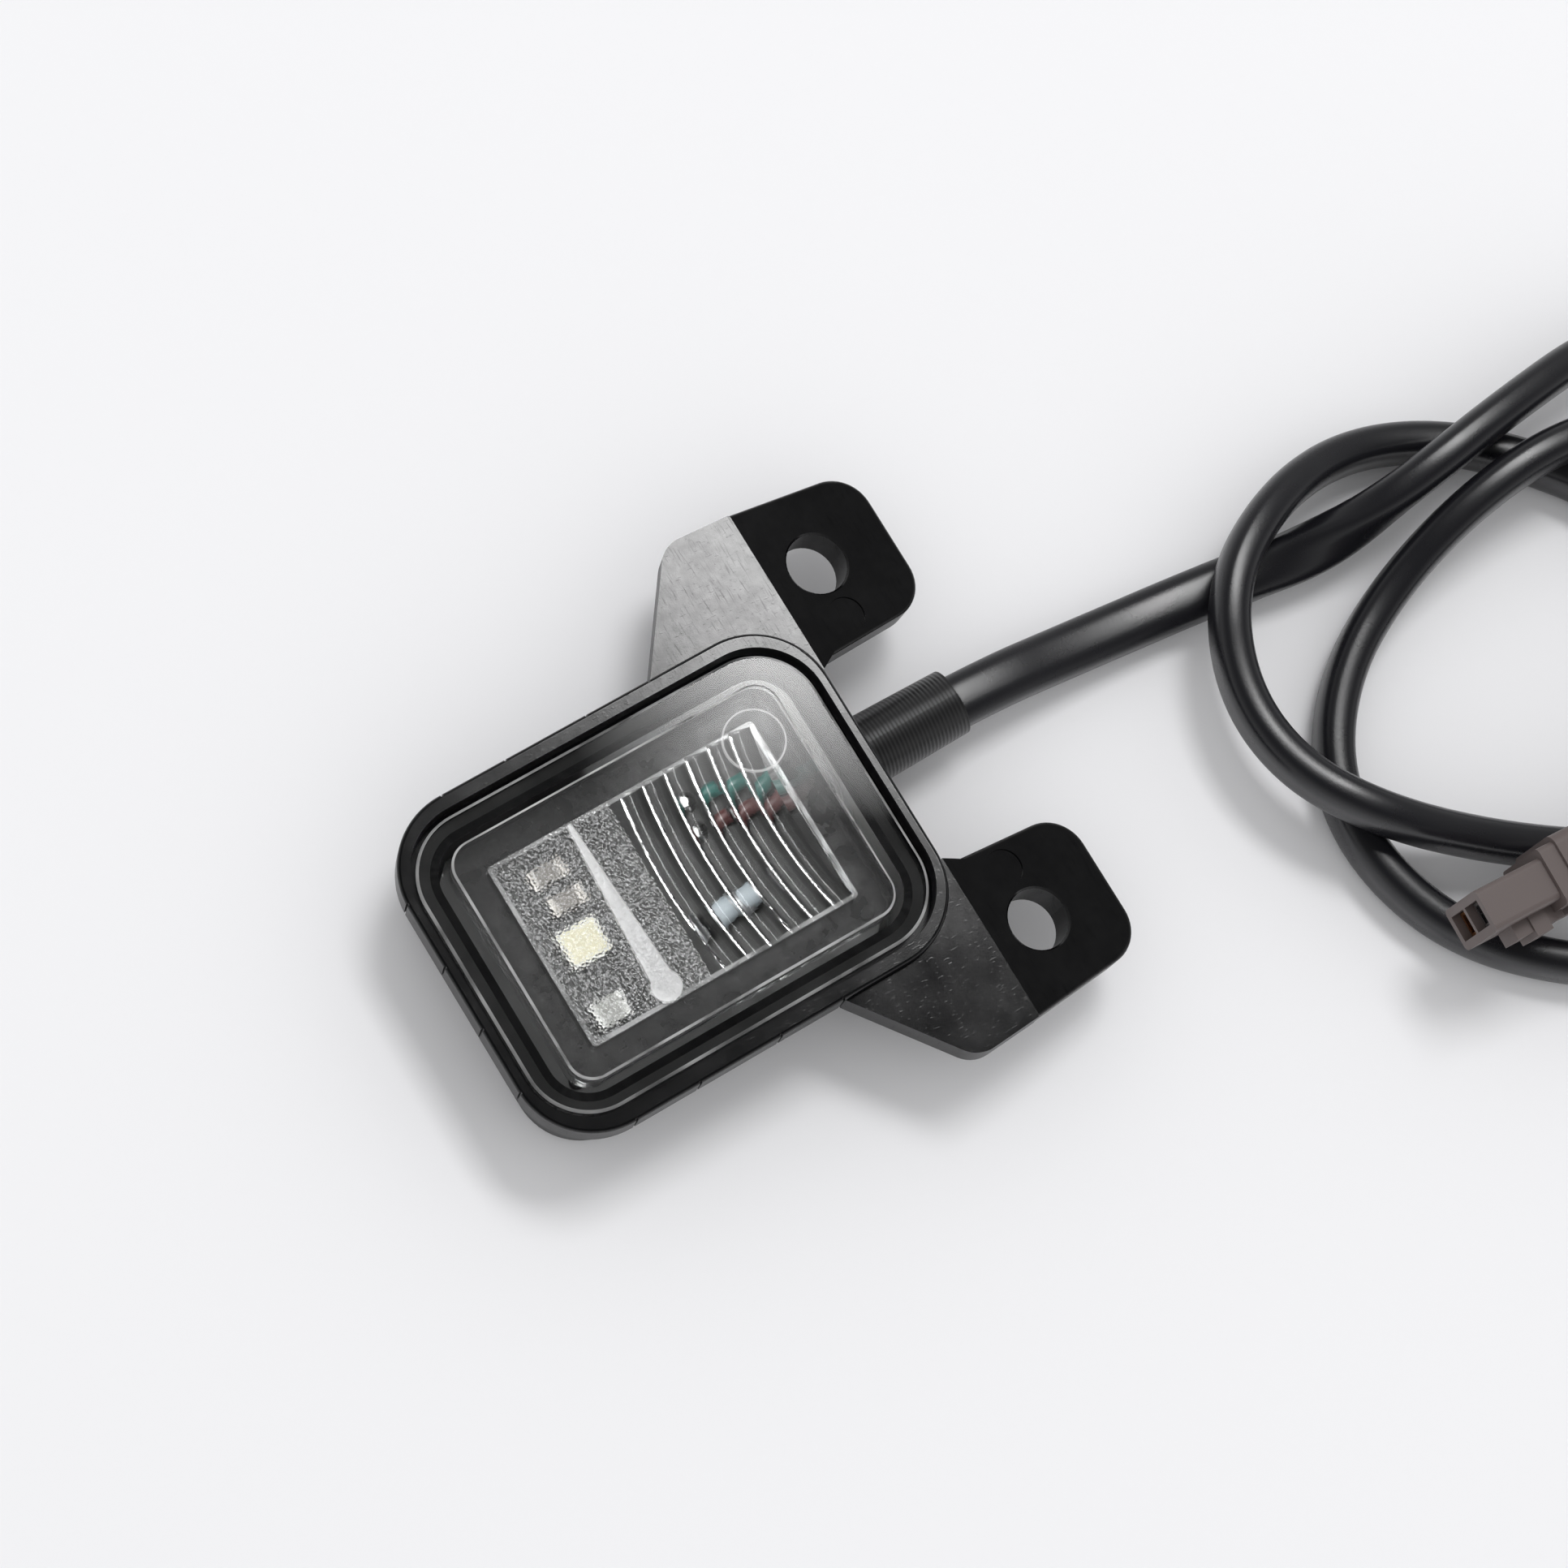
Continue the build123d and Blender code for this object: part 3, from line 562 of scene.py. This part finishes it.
def cable_surface(line, along, width, thickness):
    """Points and faces of the cable. Its section is an oval with flattened sides: the cosine and sine of the
    angle round it, each raised to the same power below one, times half the width and half the thickness.
    The section lies flat near the lamp, turns a quarter round the line under the first loop and stands on
    edge after it. Near the connector it becomes a circle. A face closes each end."""
    ahead = np.gradient(line, axis=0)
    ahead /= np.linalg.norm(ahead, axis=1, keepdims=True)
    side = np.cross(np.array([0.0, 0.0, 1.0]), ahead)
    side /= np.linalg.norm(side, axis=1, keepdims=True)
    over = np.cross(ahead, side)
    share = np.clip((along - CABLE_TURN_START) / CABLE_TURN_LENGTH, 0, 1)
    turn = (math.pi / 2 * share * share * (3 - 2 * share))[:, None]
    rounding = np.clip((along - (along[-1] - CABLE_ROUND_START)) / CABLE_ROUND_LENGTH, 0, 1)[:, None]
    wide = width / 2 * (1 - rounding) + CABLE_ROUND_RADIUS * rounding
    thin = thickness / 2 * (1 - rounding) + CABLE_ROUND_RADIUS * rounding
    angle = np.linspace(0, 2 * math.pi, CABLE_SIDES, endpoint=False)[None, :]
    power = 2 / (CABLE_SQUARENESS - (CABLE_SQUARENESS - 2) * rounding)
    u = wide * np.sign(np.cos(angle)) * np.abs(np.cos(angle)) ** power
    v = thin * np.sign(np.sin(angle)) * np.abs(np.sin(angle)) ** power
    across = u * np.cos(turn) - v * np.sin(turn)
    up = u * np.sin(turn) + v * np.cos(turn)
    points = line[:, None, :] + across[:, :, None] * side[:, None, :] + up[:, :, None] * over[:, None, :]
    count = len(line)
    ring = np.arange(CABLE_SIDES)
    starts = np.arange(count - 1)[:, None] * CABLE_SIDES
    first = (starts + ring[None, :]).ravel()
    second = (starts + np.roll(ring, -1)[None, :]).ravel()
    sides = np.stack([first, second, second + CABLE_SIDES, first + CABLE_SIDES], axis=1)
    ends = [ring[::-1].tolist(), (ring + (count - 1) * CABLE_SIDES).tolist()]
    return points.reshape(-1, 3), sides.tolist() + ends


class PlateLampSettings(bpy.types.PropertyGroup):
    """Sizes, colours and strengths of the lamp's looks."""

    cable_width: bpy.props.FloatProperty(
        name="Cable Width", description="Wide side of the flat cable", default=0.0046, unit="LENGTH"
    )
    cable_thickness: bpy.props.FloatProperty(
        name="Cable Thickness", description="Narrow side of the flat cable", default=0.0034, unit="LENGTH"
    )
    cable_colour: bpy.props.FloatVectorProperty(
        name="Cable Colour",
        description="Colour of the cable's jacket",
        default=linear("#16161a"),
        size=4,
        subtype="COLOR",
    )
    housing_colour: bpy.props.FloatVectorProperty(
        name="Housing Colour",
        description="Colour of the housing's plastic",
        default=linear("#060607"),
        size=4,
        subtype="COLOR",
    )
    housing_roughness: bpy.props.FloatProperty(
        name="Housing Roughness", description="Roughness of the black plastic", default=0.13, subtype="FACTOR"
    )
    connector_colour: bpy.props.FloatVectorProperty(
        name="Connector Colour",
        description="Colour of the connector's body",
        default=linear("#5f5553"),
        size=4,
        subtype="COLOR",
    )
    key_strength: bpy.props.FloatProperty(
        name="Key Strength", description="Brightness of the softbox", default=15.5
    )
    fill_strength: bpy.props.FloatProperty(
        name="Fill Strength", description="Strength of the light from all round", default=0.83
    )


class PLATELAMP_OT_housing(bpy.types.Operator):
    """Dress the housing, the strain relief and the sealing ring"""

    bl_idname = "platelamp.housing"
    bl_label = "Housing"

    def execute(self, context):
        dress("housing", housing_plastic(context.scene.plate_lamp))
        dress("cable_sleeve", sleeve_rubber())
        # Soft black rubber, nearly without sheen
        dress("lens_seal", moulded("black_seal_rubber", linear("#101010"), 0.6, 0.2, 0.02))
        return {"FINISHED"}


class PLATELAMP_OT_lens(bpy.types.Operator):
    """Dress the lens in clear plastic"""

    bl_idname = "platelamp.lens"
    bl_label = "Lens"

    def execute(self, context):
        dress("lens", lens_plastic())
        return {"FINISHED"}


class PLATELAMP_OT_board(bpy.types.Operator):
    """Dress the board, the light source, the small parts on the board and the cores"""

    bl_idname = "platelamp.board"
    bl_label = "Board"

    def execute(self, context):
        # Black lacquer on glass cloth: dark, with a slight sheen
        dress("circuit_board", moulded("black_solder_mask", linear("#141413"), 0.45, 0.5, 0.01))
        # White reflecting plastic round a matt, pale yellow face
        dress("led_package", moulded("white_package_plastic", linear("#fbfaf2"), 0.5, 0.3, 0.005))
        dress("led_phosphor", moulded("pale_yellow_phosphor", linear("#fdf7d8"), 0.6, 0.2, 0.01))
        # Grey and beige ceramic, and glass, each between tinned ends
        chip_grey = linear("#8c8781")
        chip_tin = linear("#b4b0aa")
        dress("resistor_upper", tinned_chip("chip_resistor_upper", chip_grey, chip_tin, *RESISTOR_UPPER))
        dress("resistor_lower", tinned_chip("chip_resistor_lower", chip_grey, chip_tin, *RESISTOR_LOWER))
        dress("capacitor", tinned_chip("ceramic_capacitor", linear("#a9a9a4"), linear("#b9b9b6"), *CAPACITOR))
        dress("diode", tinned_chip("glass_diode", linear("#c2ccd2"), linear("#e2e4e6"), *DIODE))
        # Bright, smooth tin alloy
        dress("solder_joints", bare_metal("solder", linear("#cfcfcf"), 0.25))
        # Smooth extruded insulation with a soft sheen
        dress("core_green", moulded("teal_core_insulation", linear("#1b6a62"), 0.35, 0.3, 0.005))
        dress("core_red", moulded("red_core_insulation", linear("#633e3d"), 0.35, 0.3, 0.005))
        return {"FINISHED"}


class PLATELAMP_OT_connector(bpy.types.Operator):
    """Dress the connector, its lock, contacts and seal"""

    bl_idname = "platelamp.connector"
    bl_label = "Connector"

    def execute(self, context):
        settings = context.scene.plate_lamp
        # Moulded brown-grey plastic with a fine eroded grain: dull, with soft edges of light
        dress(
            "connector_housing",
            moulded("taupe_connector_plastic", tuple(settings.connector_colour), 0.5, 0.2, 0.015),
        )
        dress("connector_lock", moulded("taupe_lock_plastic", linear("#554c4a"), 0.5, 0.2, 0.015))
        # Pressed contacts: one tinned, one of bare copper alloy
        dress("contact_upper", bare_metal("tinned_contact", linear("#c9c9c9"), 0.25))
        dress("contact_lower", bare_metal("copper_contact", linear("#c08a60"), 0.3))
        # Soft dark grey rubber
        dress("wire_seal", moulded("grey_seal_rubber", linear("#2a2827"), 0.6, 0.2, 0.02))
        return {"FINISHED"}


class PLATELAMP_OT_cable(bpy.types.Operator):
    """Make the flat cable along its loops"""

    bl_idname = "platelamp.cable"
    bl_label = "Cable"

    def execute(self, context):
        settings = context.scene.plate_lamp
        line = cable_line()
        steps = np.linalg.norm(np.diff(line, axis=0), axis=1)
        along = np.concatenate([[0.0], np.cumsum(steps)])
        points, faces = cable_surface(line, along, settings.cable_width, settings.cable_thickness)
        # Extruded soft plastic: black, with long satin highlights on a faint grain
        colour = tuple(settings.cable_colour)
        material = moulded("black_extruded_jacket", colour, 0.28, 0.25, 0.01, spread=0.015, gloss=0.6)
        made = new_mesh("cable_jacket", points, faces, material, True)
        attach(made, "root")
        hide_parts("cable")
        return {"FINISHED"}


def floor_paper():
    """Pale matt paper without any sheen."""
    made, tree = bare("pale_floor_paper")
    shader = add(
        tree,
        "ShaderNodeBsdfPrincipled",
        values={"Base Color": linear("#eeeef0"), "Roughness": 0.9, "Specular IOR Level": 0.0},
    )
    add(tree, "ShaderNodeOutputMaterial", links={"Surface": shader})
    return made


def softbox_cloth(strength):
    """Lit cloth that fades to nothing at two of its sides, so that it leaves soft-edged reflections."""
    made, tree = bare("softbox_cloth")
    place = add(tree, "ShaderNodeTexCoord").outputs["Object"]
    parts = add(tree, "ShaderNodeSeparateXYZ", links={"Vector": place})
    x, y = parts.outputs["X"], parts.outputs["Y"]
    edge_x = add(tree, "ShaderNodeMapRange", values=span(*SOFTBOX_FADE_X), links={"Value": x})
    slant, middle = SOFTBOX_SLANT
    past = add(tree, "ShaderNodeMath", {"operation": "SUBTRACT"}, {1: middle}, {0: x})
    slanted = add(tree, "ShaderNodeMath", {"operation": "MULTIPLY_ADD"}, {1: slant}, {0: past, 2: y})
    edge_y = add(tree, "ShaderNodeMapRange", values=span(*SOFTBOX_FADE_Y), links={"Value": slanted})
    lit = add(tree, "ShaderNodeMath", {"operation": "MULTIPLY"}, links={0: edge_x, 1: edge_y})
    power = add(tree, "ShaderNodeMath", {"operation": "MULTIPLY"}, {1: strength}, {0: lit})
    light = add(tree, "ShaderNodeEmission", values={"Color": linear("#ffffff")}, links={"Strength": power})
    add(tree, "ShaderNodeOutputMaterial", links={"Surface": light})
    return made


def studio(strength):
    """World: even light, a pale backdrop for the camera, and for mirrored and refracted rays a pale horizon
    that darkens overhead."""
    made = bpy.data.worlds.new("studio")
    made.use_nodes = True
    tree = made.node_tree
    tree.nodes.clear()
    rays = add(tree, "ShaderNodeLightPath")
    fill = add(tree, "ShaderNodeBackground", values={"Color": linear("#f6f6f6"), "Strength": strength})
    heading = add(tree, "ShaderNodeTexCoord").outputs["Generated"]
    height = add(tree, "ShaderNodeSeparateXYZ", links={"Vector": heading}).outputs["Z"]
    limits = span(*HORIZON_HEIGHT, *HORIZON_STRENGTH)
    horizon = add(tree, "ShaderNodeMapRange", values=limits, links={"Value": height})
    mirrored = add(
        tree,
        "ShaderNodeBackground",
        values={"Color": linear("#ffffff")},
        links={"Strength": horizon},
    )
    backdrop = add(tree, "ShaderNodeBackground", values={"Color": linear("#f4f4f4"), "Strength": 1.0})
    bent = add(
        tree,
        "ShaderNodeMath",
        {"operation": "MAXIMUM"},
        links={0: rays.outputs["Is Glossy Ray"], 1: rays.outputs["Is Transmission Ray"]},
    )
    first = add(tree, "ShaderNodeMixShader", links={0: bent, 1: fill, 2: mirrored})
    second = add(tree, "ShaderNodeMixShader", links={0: rays.outputs["Is Camera Ray"], 1: first, 2: backdrop})
    add(tree, "ShaderNodeOutputWorld", links={"Surface": second})
    return made


class PLATELAMP_OT_stage(bpy.types.Operator):
    """Make the floor, the light, the surroundings and the camera"""

    bl_idname = "platelamp.stage"
    bl_label = "Stage"

    def execute(self, context):
        settings = context.scene.plate_lamp
        scene = context.scene
        signs = np.array([[-1, -1, 0], [1, -1, 0], [1, 1, 0], [-1, 1, 0]])
        floor = new_mesh("floor", FLOOR_HALF * signs, [[0, 1, 2, 3]], floor_paper(), False)
        (x0, x1), (y0, y1), z = SOFTBOX
        sheet = np.array([[x0, y0, z], [x0, y1, z], [x1, y1, z], [x1, y0, z]])
        key = new_mesh("softbox", sheet, [[0, 1, 2, 3]], softbox_cloth(settings.key_strength), False)
        key.visible_camera = False
        scene.world = studio(settings.fill_strength)
        scene.view_settings.view_transform = "Standard"
        lens = bpy.data.cameras.new("camera")
        lens.sensor_width = CAMERA_SENSOR
        lens.lens = CAMERA_LENS
        lens.clip_start, lens.clip_end = CAMERA_CLIP
        camera = bpy.data.objects.new("camera", lens)
        camera.matrix_world = Matrix.Translation(CAMERA_PLACE) @ Matrix(CAMERA_TURN).to_4x4()
        scene.collection.objects.link(camera)
        scene.camera = camera
        return {"FINISHED"}


class PLATELAMP_PT_panel(bpy.types.Panel):
    """Sidebar panel with the settings and the steps"""

    bl_label = "Plate Lamp"
    bl_idname = "PLATELAMP_PT_panel"
    bl_space_type = "VIEW_3D"
    bl_region_type = "UI"
    bl_category = "Plate Lamp"

    def draw(self, context):
        column = self.layout.column()
        for key in PlateLampSettings.__annotations__:
            column.prop(context.scene.plate_lamp, key)
        for step in STEPS:
            column.operator(step.bl_idname)


STEPS = (
    PLATELAMP_OT_housing,
    PLATELAMP_OT_lens,
    PLATELAMP_OT_board,
    PLATELAMP_OT_connector,
    PLATELAMP_OT_cable,
    PLATELAMP_OT_stage,
)
CLASSES = (PlateLampSettings, *STEPS, PLATELAMP_PT_panel)


def register():
    """Register the classes and the settings."""
    for made in CLASSES:
        bpy.utils.register_class(made)
    bpy.types.Scene.plate_lamp = bpy.props.PointerProperty(type=PlateLampSettings)


def unregister():
    """Take the settings and the classes away."""
    del bpy.types.Scene.plate_lamp
    for made in reversed(CLASSES):
        bpy.utils.unregister_class(made)


def main():
    """Build every piece in order."""
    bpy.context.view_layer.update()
    register()
    bpy.ops.platelamp.housing()
    bpy.ops.platelamp.lens()
    bpy.ops.platelamp.board()
    bpy.ops.platelamp.connector()
    bpy.ops.platelamp.cable()
    bpy.ops.platelamp.stage()


if __name__ == "__main__":
    main()
